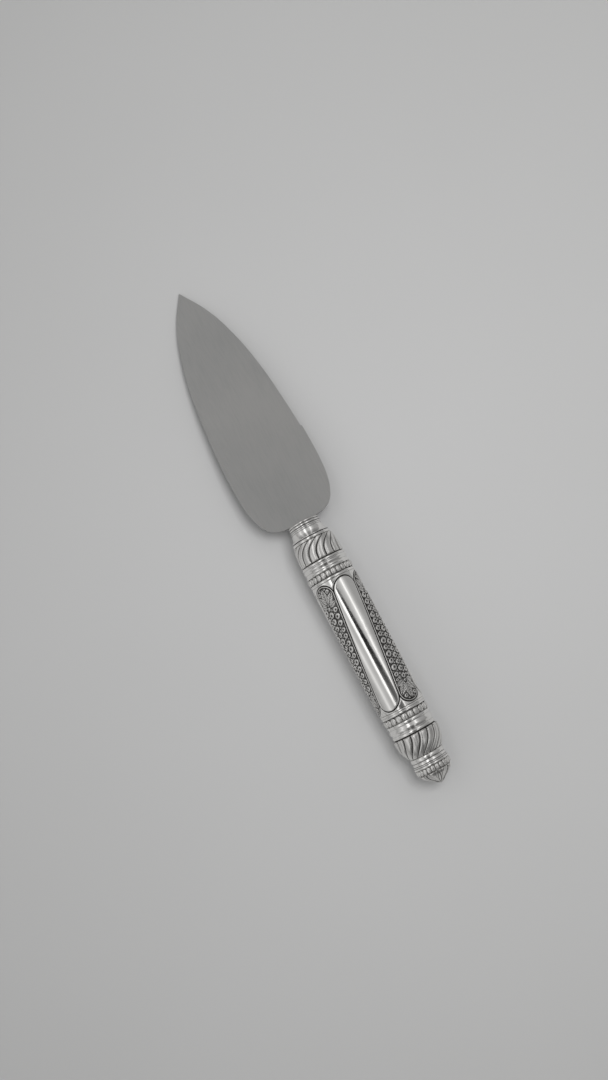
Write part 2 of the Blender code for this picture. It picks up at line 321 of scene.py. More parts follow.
# %% [markdown]
# ## Finishes
#
# Chased silver is bright on its crests and black in its recesses, because it is dipped in an oxidising
# bath and then polished. A picture could carry that, but a number kept on each point of the mesh is
# simpler and follows the shape exactly: here it is called patina, 0 where the metal is polished and 1
# where it is black. The shader mixes the two, and breaks the edge between them with a little noise.

# %% Silver, polished on top and oxidised in its recesses
BRIGHT_SILVER = (0.90, 0.89, 0.87)
TARNISHED_SILVER = (0.69, 0.68, 0.66)
OXIDE = (0.035, 0.032, 0.030)
TARNISH_SPOTS, SMUDGES, DENTS, RAGGED_EDGE, SCRATCHES = 90, 260, 420, 1800, 2600  # scales of the noise


def silver_finish(name, roughness, most_tarnish):
    """Silver that reads the patina. Most tarnish is how far, 0 to 1, its dullest spots have tarnished."""
    material, tree, shader = new_material(name)
    shader.inputs["Metallic"].default_value = 1.0
    patina = add_node(tree, "Attribute", attribute_name="patina").outputs["Fac"]
    tarnish = remap(tree, noise(tree, TARNISH_SPOTS), 0.40, 0.70, most_tarnish - 0.4, most_tarnish)
    silver = mix_colours(tree, tarnish, BRIGHT_SILVER, TARNISHED_SILVER)
    ragged = remap(tree, noise(tree, RAGGED_EDGE), 0.3, 0.7, -0.12, 0.12)
    dark = remap(tree, arithmetic(tree, "ADD", patina, ragged), 0.12, 0.95, 0.0, 1.0)
    tree.links.new(mix_colours(tree, dark, silver, OXIDE), shader.inputs["Base Color"])
    smudges = remap(tree, noise(tree, SMUDGES), 0.35, 0.7, roughness - 0.02, roughness + 0.03)
    rough = arithmetic(tree, "ADD", smudges, remap(tree, dark, 0, 1, 0, 0.4))
    tree.links.new(rough, shader.inputs["Roughness"])
    scratches = noise(tree, SCRATCHES, 2.0, (0.15, 1, 1))
    bump(tree, shader, arithmetic(tree, "ADD", scratches, noise(tree, DENTS)), 0.000006)
    return material


SILVER = silver_finish("polished_silver", 0.07, 0.5)
CHASED = silver_finish("chased_silver", 0.22, 0.9)

# %% [markdown]
# The blade is stainless steel with a fine satin brushing that runs along it. Brushing is a bundle of
# very long, thin streaks, so noise is stretched along X, and it drives both the roughness and a faint
# bump. A slow cloud of noise keeps the wide flat face from looking printed.

# %% Satin steel, filler resin and the pale sheet
STEEL_DARK = (0.40, 0.40, 0.395)
STEEL_LIGHT = (0.46, 0.455, 0.445)
RESIN_DARK = (0.10, 0.06, 0.035)
RESIN_LIGHT = (0.16, 0.10, 0.06)
# The sheet's two colours paint a pool of light: lit in the middle and dimmer towards its edges.
SHEET_LIT_MIDDLE = (0.60, 0.60, 0.60)
SHEET_DIM_EDGE = (0.49, 0.49, 0.485)
SHEET_LIGHT_FALLOFF = 2.2  # one over the distance, in metres, at which the sheet is darkest


def satin_steel():
    material, tree, shader = new_material("satin_steel")
    shader.inputs["Metallic"].default_value = 1.0
    brushing = noise(tree, 1500, 4.0, (0.012, 1, 1))
    cloud = noise(tree, 22, 2.0)
    share = remap(tree, arithmetic(tree, "ADD", brushing, cloud), 0.7, 1.3, 0, 1)
    tree.links.new(mix_colours(tree, share, STEEL_DARK, STEEL_LIGHT), shader.inputs["Base Color"])
    tree.links.new(remap(tree, brushing, 0.3, 0.7, 0.36, 0.46), shader.inputs["Roughness"])
    bump(tree, shader, brushing, 0.000008)
    return material


def filler_resin():
    material, tree, shader = new_material("filler_resin")
    grain = remap(tree, noise(tree, 700), 0.35, 0.65, 0, 1)
    colour = mix_colours(tree, grain, RESIN_DARK, RESIN_LIGHT)
    tree.links.new(colour, shader.inputs["Base Color"])
    tree.links.new(remap(tree, grain, 0, 1, 0.55, 0.7), shader.inputs["Roughness"])
    bump(tree, shader, grain, 0.00004)
    return material


def pale_sheet():
    """A matt sheet with a painted pool of light: lightest under the server and a little darker towards its
    edges.
    """
    material, tree, shader = new_material("pale_sheet")
    place = add_node(tree, "TexCoord")
    mapping = add_node(tree, "Mapping", Scale=(SHEET_LIGHT_FALLOFF, SHEET_LIGHT_FALLOFF, 0))
    # Painted light: a round gradient dims the sheet's colour away from the server.
    fade = add_node(tree, "TexGradient", gradient_type="SPHERICAL")
    tree.links.new(place.outputs["Object"], mapping.inputs["Vector"])
    tree.links.new(mapping.outputs["Vector"], fade.inputs["Vector"])
    unevenness = remap(tree, noise(tree, 5, 2.0), 0.3, 0.7, -0.05, 0.05)
    share = arithmetic(tree, "ADD", fade.outputs["Fac"], unevenness)
    colour = mix_colours(tree, share, SHEET_DIM_EDGE, SHEET_LIT_MIDDLE)
    tree.links.new(colour, shader.inputs["Base Color"])
    shader.inputs["Roughness"].default_value = 0.7
    return material


STEEL = satin_steel()
RESIN = filler_resin()
floor.data.materials.append(pale_sheet())
print("finishes:", [m.name for m in bpy.data.materials])

# %% [markdown]
# ## Ways of working
#
# An operator acts on all that is selected, so each piece starts with nothing selected, and a piece that
# is worked on again is picked first. The lathe extrudes a line of points and spins it, as a silversmith
# turns a ring.

# %% Picking and the lathe
MERGE = 2e-6  # points closer than this are one


def start_piece():
    """Leave edit mode, with nothing selected."""
    if bpy.context.object and bpy.context.object.mode != "OBJECT":
        bpy.ops.object.mode_set(mode="OBJECT")
    bpy.ops.object.select_all(action="DESELECT")


def pick(*pieces):
    """Select these pieces and nothing else, with the last one active."""
    start_piece()
    for piece in pieces:
        piece.select_set(True)
    bpy.context.view_layer.objects.active = pieces[-1]


def close_up():
    """In edit mode: merge doubles, turn the faces out and leave edit mode, with the place applied."""
    bpy.ops.mesh.select_all(action="SELECT")
    bpy.ops.mesh.remove_doubles(threshold=MERGE)
    bpy.ops.mesh.normals_make_consistent(inside=False)
    bpy.ops.object.mode_set(mode="OBJECT")
    bpy.ops.object.transform_apply(location=True, rotation=True, scale=True)
    return bpy.context.object


def lathe(profile, steps):
    """Extrude a line of points along the (d, radius) profile, in mm, and spin it round the axis."""
    places = [on_handle(d * MM, radius * MM, 0) for d, radius in profile]
    start_piece()
    bpy.ops.mesh.primitive_plane_add(size=MM, location=places[0])
    bpy.ops.object.mode_set(mode="EDIT")
    bpy.ops.mesh.select_mode(type="VERT")
    bpy.ops.mesh.select_all(action="SELECT")
    bpy.ops.mesh.merge(type="CENTER")
    for here, there in zip(places, places[1:]):
        bpy.ops.mesh.extrude_region_move(TRANSFORM_OT_translate={"value": there - here})
    bpy.ops.mesh.select_all(action="SELECT")
    axis_point = (MOUTH_X, 0, AXIS_Z)
    bpy.ops.mesh.spin(steps=steps, angle=math.tau, center=axis_point, axis=(1, 0, 0))
    return close_up()


# %% [markdown]
# The press moves the points of a finished blank by a rule, given in d, radius and turn, which is how
# lobes, swirls and petals are raised. The rule also says how dark the oxide is at each point.

# %% Press and patina


def read_points(piece):
    """Three arrays: the x, the y and the z of every point."""
    points = np.empty(len(piece.data.vertices) * 3, np.float32)
    piece.data.vertices.foreach_get("co", points)
    return points.reshape(-1, 3).astype(float).T


def move_points(piece, x, y, z):
    points = np.stack([x, y, z], axis=1)
    piece.data.vertices.foreach_set("co", points.astype(np.float32).ravel())
    piece.data.update()


def put_round_axis(piece, d, radius, turn):
    """Move every point to its d and radius, in mm, and its turn about the axis."""
    y = -radius * MM * np.sin(turn)
    z = AXIS_Z + radius * MM * np.cos(turn)
    move_points(piece, MOUTH_X - d * MM, y, z)


def set_patina(piece, values):
    """Keep the darkness of the oxide, 0 to 1, on each point of the piece."""
    layer = piece.data.attributes.get("patina")
    layer = layer or piece.data.attributes.new("patina", "FLOAT", "POINT")
    values = np.broadcast_to(np.asarray(values, np.float32), len(piece.data.vertices))
    layer.data.foreach_set("value", np.ascontiguousarray(values))


def press(piece, rule):
    """Move every point by a rule on arrays of d and radius (mm) and turn (radians)."""
    x, y, z = read_points(piece)
    radius = np.hypot(y, z - AXIS_Z) / MM
    turn = np.arctan2(-y, z - AXIS_Z)
    d, radius, turn, patina = rule((MOUTH_X - x) / MM, radius, turn)
    set_patina(piece, patina)
    put_round_axis(piece, d, radius, turn)


def ease(value, start, end):
    """A smooth step from 0 at start to 1 at end."""
    share = np.clip((value - start) / (end - start), 0, 1)
    return share * share * (3 - 2 * share)


# %% [markdown]
# A finished piece is named, smoothed, given its finish and hung on its body. It says which solid it stands
# for, if any, and that solid is hidden.

# %% Copy, join and finish


def copy_of(master, place):
    """A copy with its own mesh, put in its place by a matrix."""
    copy = master.copy()
    copy.data = master.data.copy()
    scene.collection.objects.link(copy)
    copy.data.transform(place)
    return copy


def join(pieces):
    """One object out of several, the last one named being the one that stays."""
    pick(*pieces)
    bpy.ops.object.join()
    return bpy.context.object


def finish_piece(piece, name, nodes, material, smooth_angle=60):
    """Name the piece, shade it, give it its finish and hang it on the body it belongs to."""
    pick(piece)
    bpy.ops.object.shade_smooth_by_angle(angle=math.radians(smooth_angle))
    piece.name = name
    piece.data.name = name
    piece.data.materials.clear()
    piece.data.materials.append(material)
    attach(piece, "root")
    if nodes:
        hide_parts(*nodes)
    print(f"{name}: {len(piece.data.polygons)} faces")
    return piece


# %% [markdown]
# ## The blade
#
# The blade is one leaf of steel with rounded shoulders, a pointed tip and, on one side, an edge that is
# ground from a small notch to the tip. A flat curve with bezier points gives a clean outline from few
# points, and its extrusion gives the thickness. Once it is a mesh, the tang is extruded back from its
# root, the ground edge is pulled in on the underside, and a bevel rounds the rest.

# %% Outline of the leaf
blade_low, blade_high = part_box("blade")
BLADE_LENGTH = (blade_high.x - MOUTH_X) / math.cos(DIP)
BLADE_HALF = blade_high.y
BLADE_THICK = 1.5 * MM
TANG_HALF, TANG_END_HALF = 5.4 * MM, 3.4 * MM
TANG_LENGTH = MOUTH_X - blade_low.x
NOTCH_DEPTH, NOTCH_RUN = 0.6 * MM, 0.5 * MM

# Distance from the mouth over the blade's length, and half width over its widest
LEAF = [
    (0.0072, 0.564), (0.0253, 0.735), (0.0578, 0.859), (0.108, 0.949), (0.173, 0.991),
    (0.260, 1.0), (0.3215, 0.993), (0.4335, 0.949), (0.614, 0.833), (0.766, 0.645), (0.889, 0.385),
]
NOTCH_STATION = 6
ROOT_HALF = 0.385
NOTCH = LEAF[NOTCH_STATION][0] * BLADE_LENGTH


def leaf_points(side):
    """The outline from the root to the tip on one side, +1 for +Y."""
    points = [Vector((x * BLADE_LENGTH, side * y * BLADE_HALF, 0)) for x, y in LEAF]
    if side > 0:
        return points
    ground = points[: NOTCH_STATION + 1]
    ground.append(points[NOTCH_STATION] + Vector((NOTCH_RUN, NOTCH_DEPTH, 0)))
    for point in points[NOTCH_STATION + 1 :]:
        keep = (BLADE_LENGTH - point.x) / (BLADE_LENGTH - NOTCH)
        ground.append(point + Vector((0, NOTCH_DEPTH * keep, 0)))
    return ground


start_piece()
bpy.ops.curve.primitive_bezier_circle_add(radius=0.01)
outline = bpy.context.object
curve = outline.data
left, right = leaf_points(1), leaf_points(-1)
tip = Vector((BLADE_LENGTH, 0, 0))
root_half = ROOT_HALF * BLADE_HALF
root = [Vector((0, y, 0)) for y in (-root_half, -TANG_HALF, TANG_HALF, root_half)]
loop = root + left + [tip] + right[::-1]
curve.splines.clear()
spline = curve.splines.new("BEZIER")
spline.use_cyclic_u = True
spline.bezier_points.add(len(loop) - 1)
notch_corners = {len(loop) - 1 - NOTCH_STATION, len(loop) - 2 - NOTCH_STATION}
for number, (point, place) in enumerate(zip(spline.bezier_points, loop)):
    point.co = place
    sharp = number in (1, 2) or place == tip or number in notch_corners
    point.handle_left_type = point.handle_right_type = "VECTOR" if sharp else "AUTO"
curve.dimensions = "2D"
curve.fill_mode = "BOTH"
curve.resolution_u = 14
curve.extrude = BLADE_THICK / 2
bpy.ops.object.convert(target="MESH")
blade = bpy.context.object
print("blade blank:", len(blade.data.vertices), "points, length", round(BLADE_LENGTH / MM, 1), "mm")

# %% Tang, ground edge and dip
GRIND = 1.6 * MM  # how far in the underside is ground
GRIND_START = NOTCH + 0.3 * MM
GRIND_LEFT = 0.02 * MM  # it stops this short of the middle line, near the tip
EASED = 0.28 * MM  # width of the bevel
NEAR = 1e-6


def select_points(piece, rule):
    """In edit mode: select only the points whose place the rule accepts."""
    bpy.ops.mesh.select_all(action="DESELECT")
    bpy.ops.mesh.select_mode(type="VERT")
    bpy.ops.object.mode_set(mode="OBJECT")
    for vertex in piece.data.vertices:
        vertex.select = bool(rule(vertex.co))
    bpy.ops.object.mode_set(mode="EDIT")


bpy.ops.object.mode_set(mode="EDIT")
bpy.ops.mesh.select_all(action="SELECT")
bpy.ops.mesh.remove_doubles(threshold=NEAR)
bpy.ops.mesh.dissolve_limited(angle_limit=math.radians(0.5), delimit={"NORMAL"})
select_points(blade, lambda co: abs(co.x) < NEAR and abs(co.y) < TANG_HALF + NEAR)
bpy.ops.mesh.select_mode(type="FACE")
bpy.ops.mesh.extrude_region_move(TRANSFORM_OT_translate={"value": (-TANG_LENGTH, 0, 0)})
bpy.ops.transform.resize(value=(1, TANG_END_HALF / TANG_HALF, 1))
bpy.ops.mesh.select_all(action="SELECT")
bpy.ops.mesh.normals_make_consistent(inside=False)
bpy.ops.object.mode_set(mode="OBJECT")
for vertex in blade.data.vertices:
    x, y, z = vertex.co
    if z < 0 and y < 0 and x > GRIND_START:
        vertex.co.y = min(y + GRIND, -GRIND_LEFT)
    if x > -MM:
        vertex.co.x = max(x, 0)  # the curve bulges back a little beside the tang
bevel = blade.modifiers.new("eased edges", "BEVEL")
bevel.width = EASED
bevel.segments = 3
bevel.limit_method = "ANGLE"
bevel.angle_limit = math.radians(50)
pick(blade)
bpy.ops.object.modifier_apply(modifier=bevel.name)
dip_turn = Matrix.Rotation(DIP, 3, "Y")
for vertex in blade.data.vertices:
    if vertex.co.x > 0:
        vertex.co = dip_turn @ vertex.co
    vertex.co += Vector((MOUTH_X, 0, AXIS_Z))
blade.data.update()
finish_piece(blade, "blade_finished", ["blade"], STEEL, smooth_angle=12)

# %% [markdown]
# ## Turned rings
#
# Nine plain rings part the bands of ornament. Each is a short profile on the lathe, and a subdivision
# surface rounds it as polishing does. The profile is written from where the solid starts to where it
# ends, so that every ring meets its neighbours.

# %% One plain ring
RING_STEPS = 72


def rounded(profile, corner=0.18):
    """Each corner of a profile as two points a little way back along its sides, to hold its shape."""
    soft = [profile[0]]
    for before, here, after in zip(profile, profile[1:], profile[2:]):
        for other in (before, after):
            way = math.dist(here, other)
            share = min(corner / way, 0.4)
            soft.append(tuple(h + (o - h) * share for h, o in zip(here, other)))
    return soft + [profile[-1]]


def turned_ring(node, shape, bore, dark):
    """A ring from its shape, (share of its width, radius in mm), and the dark lines turned into it.

    A line is (share of the ring's width, its own width in mm, how dark it is)."""
    start, end = span(node)
    outer = [(start + share * (end - start), radius) for share, radius in shape]
    profile = [(start, bore)] + outer + [(end, bore)]
    ring = lathe(rounded(profile), RING_STEPS)
    smooth = ring.modifiers.new("rounded", "SUBSURF")
    smooth.levels = smooth.render_levels = 1
    bpy.ops.object.modifier_apply(modifier=smooth.name)

    def lines(d, radius, turn):
        patina = np.zeros_like(d)
        for place, width, strength in dark:
            away = np.abs(d - (start + place * (end - start)))
            patina = np.maximum(patina, strength * (1 - ease(away, width * 0.5, width)))
        return d, radius, turn, patina

    press(ring, lines)
    finish_piece(ring, node + "_finished", [node], SILVER)


# %% Nine rings, from the mouth to the butt
turned_ring(
    "mouth_ring",
    [(0.0, 7.7), (0.12, 8.25), (0.38, 8.3), (0.48, 7.85), (0.58, 8.3), (0.9, 8.3), (1.0, 7.95)],
    7.0,
    dark=[(0.48, 0.25, 0.8), (1.0, 0.25, 0.8)],
)
turned_ring(
    "neck_collar",
    [
        (0.0, 8.0), (0.03, 8.3), (0.11, 8.3), (0.14, 8.1), (0.17, 8.35), (0.25, 8.4), (0.28, 8.25),
        (0.31, 8.45), (0.6, 8.8), (0.85, 9.5), (0.96, 10.0), (1.0, 9.8),
    ],
    7.0,
    dark=[(0.0, 0.25, 0.9), (0.14, 0.15, 0.7), (0.28, 0.15, 0.7), (1.0, 0.2, 1.0)],
)
turned_ring(
    "neck_ring",
    [(0.0, 9.6), (0.15, 10.25), (0.5, 10.4), (0.85, 10.25), (1.0, 9.6)],
    8.6,
    dark=[(0.0, 0.4, 1.0), (1.0, 0.35, 1.0)],
)
turned_ring(
    "neck_moulding",
    [
        (0.0, 11.5), (0.03, 11.85), (0.18, 11.85), (0.22, 11.45), (0.30, 11.7), (0.42, 12.1),
        (0.54, 11.7), (0.62, 11.45), (0.74, 11.5), (0.82, 11.95), (0.97, 11.95), (1.0, 11.6),
    ],
    10.4,
    dark=[(0.22, 0.2, 0.38), (0.62, 0.2, 0.38)],
)
turned_ring(
    "upper_fillet",
    [(0.0, 11.6), (0.15, 12.05), (0.5, 12.1), (0.85, 12.05), (1.0, 11.6)],
    10.4,
    dark=[(0.0, 0.25, 0.7), (1.0, 0.2, 0.6)],
)
turned_ring(
    "lower_fillet",
    [(0.0, 11.5), (0.1, 11.95), (0.4, 12.05), (0.5, 11.8), (0.6, 12.0), (0.9, 11.95), (1.0, 11.5)],
    10.4,
    dark=[(0.0, 0.2, 0.6), (0.5, 0.2, 0.38), (1.0, 0.25, 0.7)],
)
turned_ring(
    "lower_moulding",
    [
        (0.0, 11.3), (0.04, 11.65), (0.20, 11.65), (0.25, 11.2), (0.35, 11.5), (0.5, 11.95),
        (0.64, 11.5), (0.74, 11.15), (0.80, 11.6), (0.96, 11.6), (1.0, 11.2),
    ],
    10.4,
    dark=[(0.25, 0.2, 0.38), (0.74, 0.2, 0.38), (1.0, 0.2, 0.7)],
)
turned_ring(
    "waist_ring",
    [(0.0, 8.4), (0.15, 9.0), (0.5, 9.15), (0.85, 9.0), (1.0, 8.5)],
    7.2,
    dark=[(0.0, 0.3, 0.9), (1.0, 0.25, 0.7)],
)
turned_ring(
    "butt_collar",
    [
        (0.0, 8.6), (0.05, 8.85), (0.4, 9.05), (0.45, 8.9), (0.5, 9.15), (0.62, 9.3), (0.67, 9.1),
        (0.72, 9.4), (0.95, 9.5), (1.0, 9.2),
    ],
    7.2,
    dark=[(0.45, 0.2, 0.8), (0.67, 0.2, 0.8)],
)

# %% [markdown]
# ## Bead rings
#
# Three rings of round beads stand on dark bands. Beads could be pressed out of one ring by a rule, but
# real ones are round almost to their foot. So one small sphere is swelled into a barrel, and copies of it
# are set round the handle, half sunk in a turned band.

# %% Three bead rings
BARREL = 0.72  # 1 is a plain sphere, and less is squarer
BEAD_LONG = 0.48  # half a bead along the handle, as a share of its band
BEAD_WIDE = 0.90  # a bead round the handle, as a share of its part of the ring
BAND_PATINA = 0.6


def model_bead(size):
    """A sphere swelled towards its corners into a barrel, with its size applied."""
    start_piece()
    bpy.ops.mesh.primitive_uv_sphere_add(segments=16, ring_count=10, radius=1)
    bead = bpy.context.object
    for vertex in bead.data.vertices:
        vertex.co = [math.copysign(abs(part) ** BARREL, part) for part in vertex.co]
    bead.scale = size
    bpy.ops.object.transform_apply(location=True, rotation=True, scale=True)
    return bead


def bead_ring(node, beads, crest, valley, bore):
    """A dark band with beads standing in it. Crest and valley are radii in mm."""
    start, end = span(node)
    middle = (start + end) / 2
    band_profile = [(start, bore), (start, valley), (end, valley), (end, bore)]
    band = lathe(rounded(band_profile, 0.1), 2 * beads)
    set_patina(band, BAND_PATINA)
    size = (
        (end - start) * BEAD_LONG * MM,
        math.pi * crest / beads * BEAD_WIDE * MM,
        (crest - valley) * MM,
    )
    master = model_bead(size)
    pieces = []
    for number in range(beads):
        turn = math.tau * (number + 0.5) / beads
        place = Matrix.Translation(on_handle(middle * MM, valley * MM, turn))
        pieces.append(copy_of(master, place @ Matrix.Rotation(turn, 4, "X")))
    bpy.data.objects.remove(master)
    beads_only = join(pieces)

    def foot(d, radius, turn):
        rise = (radius - valley) / (crest - valley)
        return d, radius, turn, 1 - ease(rise, 0.05, 0.5)

    press(beads_only, foot)
    ring = join([beads_only, band])
    finish_piece(ring, node + "_finished", [node], CHASED)


bead_ring("upper_beading", 26, 12.25, 11.35, 10.4)
bead_ring("lower_beading", 22, 12.05, 11.15, 10.4)
bead_ring("butt_beading", 24, 9.35, 8.6, 7.2)

# %% [markdown]
# ## Swirled knops
#
# A gadroon knop is a bulb with lobes that swirl round it, cut apart by thin dark grooves. The bulb is
# turned on the lathe with a point of the mesh for each part of a lobe. The press then sinks the grooves
# and turns each row, so that the lobes start straight at the wide end and swirl fast at the narrow one.

# %% A smooth curve for the bulbs


def smooth_line(points, places):
    """Values on a smooth curve through (place, value) points (Catmull-Rom)."""
    xs, ys = np.array(points, float).T
    slopes = np.gradient(ys, xs)
    found = []
    for place in places:
        number = min(np.searchsorted(xs, place, "right") - 1, len(xs) - 2)
        width = xs[number + 1] - xs[number]
        t = (place - xs[number]) / width
        curve_value = (
            ys[number] * (1 + 2 * t) * (1 - t) ** 2
            + ys[number + 1] * t * t * (3 - 2 * t)
            + width * t * (1 - t) * (slopes[number] * (1 - t) - slopes[number + 1] * t)
        )
        found.append(curve_value)
    return found


# %% Two gadroon knops
LOBES = 16
STEPS_PER_LOBE = 14
LOBE_DEPTH = 0.85
BULB_ROWS = 40


def knop(node, bulb, bore, wide_at_start, groove_turn, swirl, haste):
    """The bulb is (share from the wide end, radius in mm). The groove's turn and its swirl are in degrees.

    The swirl runs from the wide end to the narrow one, and the more haste, the later it starts."""
    start, end = span(node)
    wide, narrow = (start, end) if wide_at_start else (end, start)
    shares = np.linspace(0, 1, BULB_ROWS)
    radii = smooth_line(bulb, shares)
    outer = [(wide + (narrow - wide) * s, r) for s, r in zip(shares, radii)]
    profile = [(wide, bore)] + outer + [(narrow, bore)]
    blank = lathe(profile if wide_at_start else profile[::-1], LOBES * STEPS_PER_LOBE)

    def raise_lobes(d, radius, turn):
        share = np.clip((d - wide) / (narrow - wide), 0, 1)
        crest = 1 - np.abs(2 * (turn / math.tau * LOBES % 1.0) - 1) ** 4
        ends = ease(share, 0.03, 0.12) * (1 - 0.7 * ease(share, 0.55, 1.0))
        outside = radius > bore + 0.3
        step = 1 - ease(share, 0.025, 0.065)
        sunk = LOBE_DEPTH * (1 - crest) * ends + LOBE_DEPTH * step
        patina = np.maximum(1 - ease(crest, 0.20, 0.78), 1 - ease(share, 0.03, 0.06))
        patina = np.where(outside, patina, 0)
        radius = np.where(outside, radius - sunk, radius)
        turn = turn + math.radians(groove_turn) + math.radians(swirl) * share**haste
        return d, radius, turn, patina

    press(blank, raise_lobes)
    finish_piece(blank, node + "_finished", [node], CHASED)


NECK_BULB = [(0, 11.55), (0.08, 11.65), (0.25, 11.65), (0.5, 11.5), (0.75, 11.15), (1, 10.6)]
BUTT_BULB = [(0, 11.8), (0.1, 12.0), (0.3, 11.95), (0.55, 11.5), (0.8, 10.3), (1, 8.9)]
knop("neck_knop", NECK_BULB, 9.4, False, 12.5, 40, 3.0)
knop("butt_knop", BUTT_BULB, 7.2, True, 3.5, -40, 2.1)

# %% [markdown]
# ## The grip
#
# The sleeve has six panels with round ends, alternately plain and chased with leaves and berries, and
# they all twist. Chasing is done on a flat sheet that is then rolled up, and the same order is easiest
# here: each panel is modelled flat, where X runs along the handle, Y across the panel and Z is height,
# and a roll rule wraps it round the axis with the twist.

# %% Measures of the grip, and the rolling rule
GRIP_START, GRIP_END = span("body_sleeve")
GRIP_RADIUS = 12.0
TWIST = math.radians(-0.65)  # for each millimetre along the grip
PANELS = 6
PITCH = GRIP_RADIUS * math.tau / PANELS
LINE = 0.42  # width of the dark line between panels
PANEL_HALF = (PITCH - LINE) / 2
PANEL_START, PANEL_END = GRIP_START + 1.0, GRIP_END - 0.95
ROUND_START, ROUND_END = PANEL_START + PANEL_HALF, PANEL_END - PANEL_HALF  # centres of the round ends
TWIST_FROM = 38.0  # mm from the mouth
FIRST_CENTRE = math.radians(14.5)  # turn of a plain panel's centre line there
print(f"grip: from {GRIP_START:.1f} to {GRIP_END:.1f} mm, {PANELS} panels {2 * PANEL_HALF:.1f} mm wide")


def roll(piece, panel):
    """Wrap a flat piece, modelled in mm, round the handle at the place of its panel."""
    d, flat_y, height = read_points(piece) / MM
    centre = FIRST_CENTRE + panel * math.tau / PANELS
    turn = centre + flat_y / GRIP_RADIUS + TWIST * (d - TWIST_FROM)
    put_round_axis(piece, d, GRIP_RADIUS + height, turn)


# %% Flat sheets in the outline of a panel
CROWDING = 1.6  # above 1, the points crowd towards the panel's ends


def flat_grid(along, across):
    """A grid on the flat, whose points are then placed by the shares 0..1 along and -1..1 across."""
    start_piece()
    bpy.ops.mesh.primitive_grid_add(x_subdivisions=along, y_subdivisions=across, size=2)
    grid = bpy.context.object
    x, y, _ = read_points(grid)
    return grid, (x + 1) / 2, y


def set_flat(piece, x, y, height):
    """Put the points of a flat piece in place, in mm."""
    move_points(piece, x * MM, y * MM, height * MM)


def skirt(piece, drop):
    """Extrude the rim of an open sheet straight down, so that it has a wall."""
    pick(piece)
    bpy.ops.object.mode_set(mode="EDIT")
    bpy.ops.mesh.select_mode(type="EDGE")
    bpy.ops.mesh.select_all(action="DESELECT")
    bpy.ops.mesh.select_non_manifold(extend=False, use_boundary=True)
    bpy.ops.mesh.extrude_region_move(TRANSFORM_OT_translate={"value": (0, 0, -drop * MM)})
    bpy.ops.object.mode_set(mode="OBJECT")


def from_outline(x, y, half):
    """How far points on the flat lie inside the outline of a panel with this half width."""
    beyond = np.maximum(ROUND_START - x, 0) + np.maximum(x - ROUND_END, 0)
    return half - np.hypot(beyond, y)


def stadium(along, across):
    """A flat grid in the outline of a panel, with the distance of each point from its edge."""
    grid, share, side = flat_grid(along, across)
    y = PANEL_HALF * np.sin(side * math.pi / 2)
    bow = np.sqrt(np.maximum(PANEL_HALF**2 - y**2, 0))
    low, high = ROUND_START - bow, ROUND_END + bow
    near = 0.5 * (2 * np.minimum(share, 1 - share)) ** CROWDING
    eased = np.where(share < 0.5, near, 1 - near)
    x = low + eased * (high - low)
    return grid, x, y, from_outline(x, y, PANEL_HALF)


# %% [markdown]
# Under the panels lies the dark floor of the chasing. It is a plain tube on the lathe, and it is all
# that shows in the lines between the panels.

# %% Dark tube under the panels
TUBE_BORE, TUBE_RADIUS = 10.9, 11.35
tube_profile = [
    (GRIP_START, TUBE_BORE),
    (GRIP_START, TUBE_RADIUS),
    (GRIP_END, TUBE_RADIUS),
    (GRIP_END, TUBE_BORE),
]
tube = lathe(tube_profile, 96)
set_patina(tube, 1.0)
finish_piece(tube, "grip_floor", ["body_sleeve"], CHASED)

# %% [markdown]
# The plain panels are gently pillowed and highly polished, so their shape is in the highlight: nearly
# level across the middle, and quickly rounded down at the edge. A grid in the shape of the outline, with
# rows crowded near its edges, carries that roll-off with few faces.

# %% Plain panels
CROWN = 0.10  # how much higher the middle line stands
ROLL_OFF, ROLL_WIDTH = 0.34, 0.5  # how far the edge drops, and over what width


def plain_panel(number):
    panel, x, y, edge = stadium(96, 20)
    crown = CROWN * (1 - (y / PANEL_HALF) ** 2)
    roll_off = ROLL_OFF * (1 - np.sqrt(1 - (1 - np.clip(edge / ROLL_WIDTH, 0, 1)) ** 2))
    set_flat(panel, x, y, 0.1 + crown - roll_off)
    set_patina(panel, 0.75 * (1 - ease(edge, 0.0, 0.12)))
    skirt(panel, 0.7)
    roll(panel, 2 * number)
    finish_piece(panel, f"plain_panel_{number + 1}", [], SILVER)


for panel_number in range(PANELS // 2):
    plain_panel(panel_number)

# %% [markdown]
# A chased panel has a narrow raised rim, a dark line inside it, and a matted ground on which the leaves
# and berries lie. Rim, line and ground are one grid again, with the height set by the distance from the
# edge.

# %% Ground of the chased panels
RIM_HEIGHT, RIM_HALF = 0.22, 0.28
GROUND = -0.34  # height of the matted ground


def chased_ground(number):
    panel, x, y, edge = stadium(110, 26)
    rim = RIM_HEIGHT * (1 - np.clip(np.abs(edge - RIM_HALF) / RIM_HALF, 0, 1) ** 2)
    sunk = RIM_HEIGHT * ease(edge, 0.40, 0.62)
    set_flat(panel, x, y, GROUND + RIM_HEIGHT + rim - sunk)
    line = ease(edge, 0.42, 0.58) * (1 - 0.2 * ease(edge, 0.62, 1.2))
    set_patina(panel, np.maximum(line, 0.8 * (1 - ease(edge, 0.0, 0.1))))
    skirt(panel, 0.5)
    roll(panel, 2 * number + 1)
    return panel


# %% [markdown]
# Berries: a low dome with a rolled edge and a dark dimple a little off its middle. It is a circle that is
# extruded inwards and up ring by ring. One is modelled, and the rest are copies with their own size and
# turn, so that no two dimples look the same way.

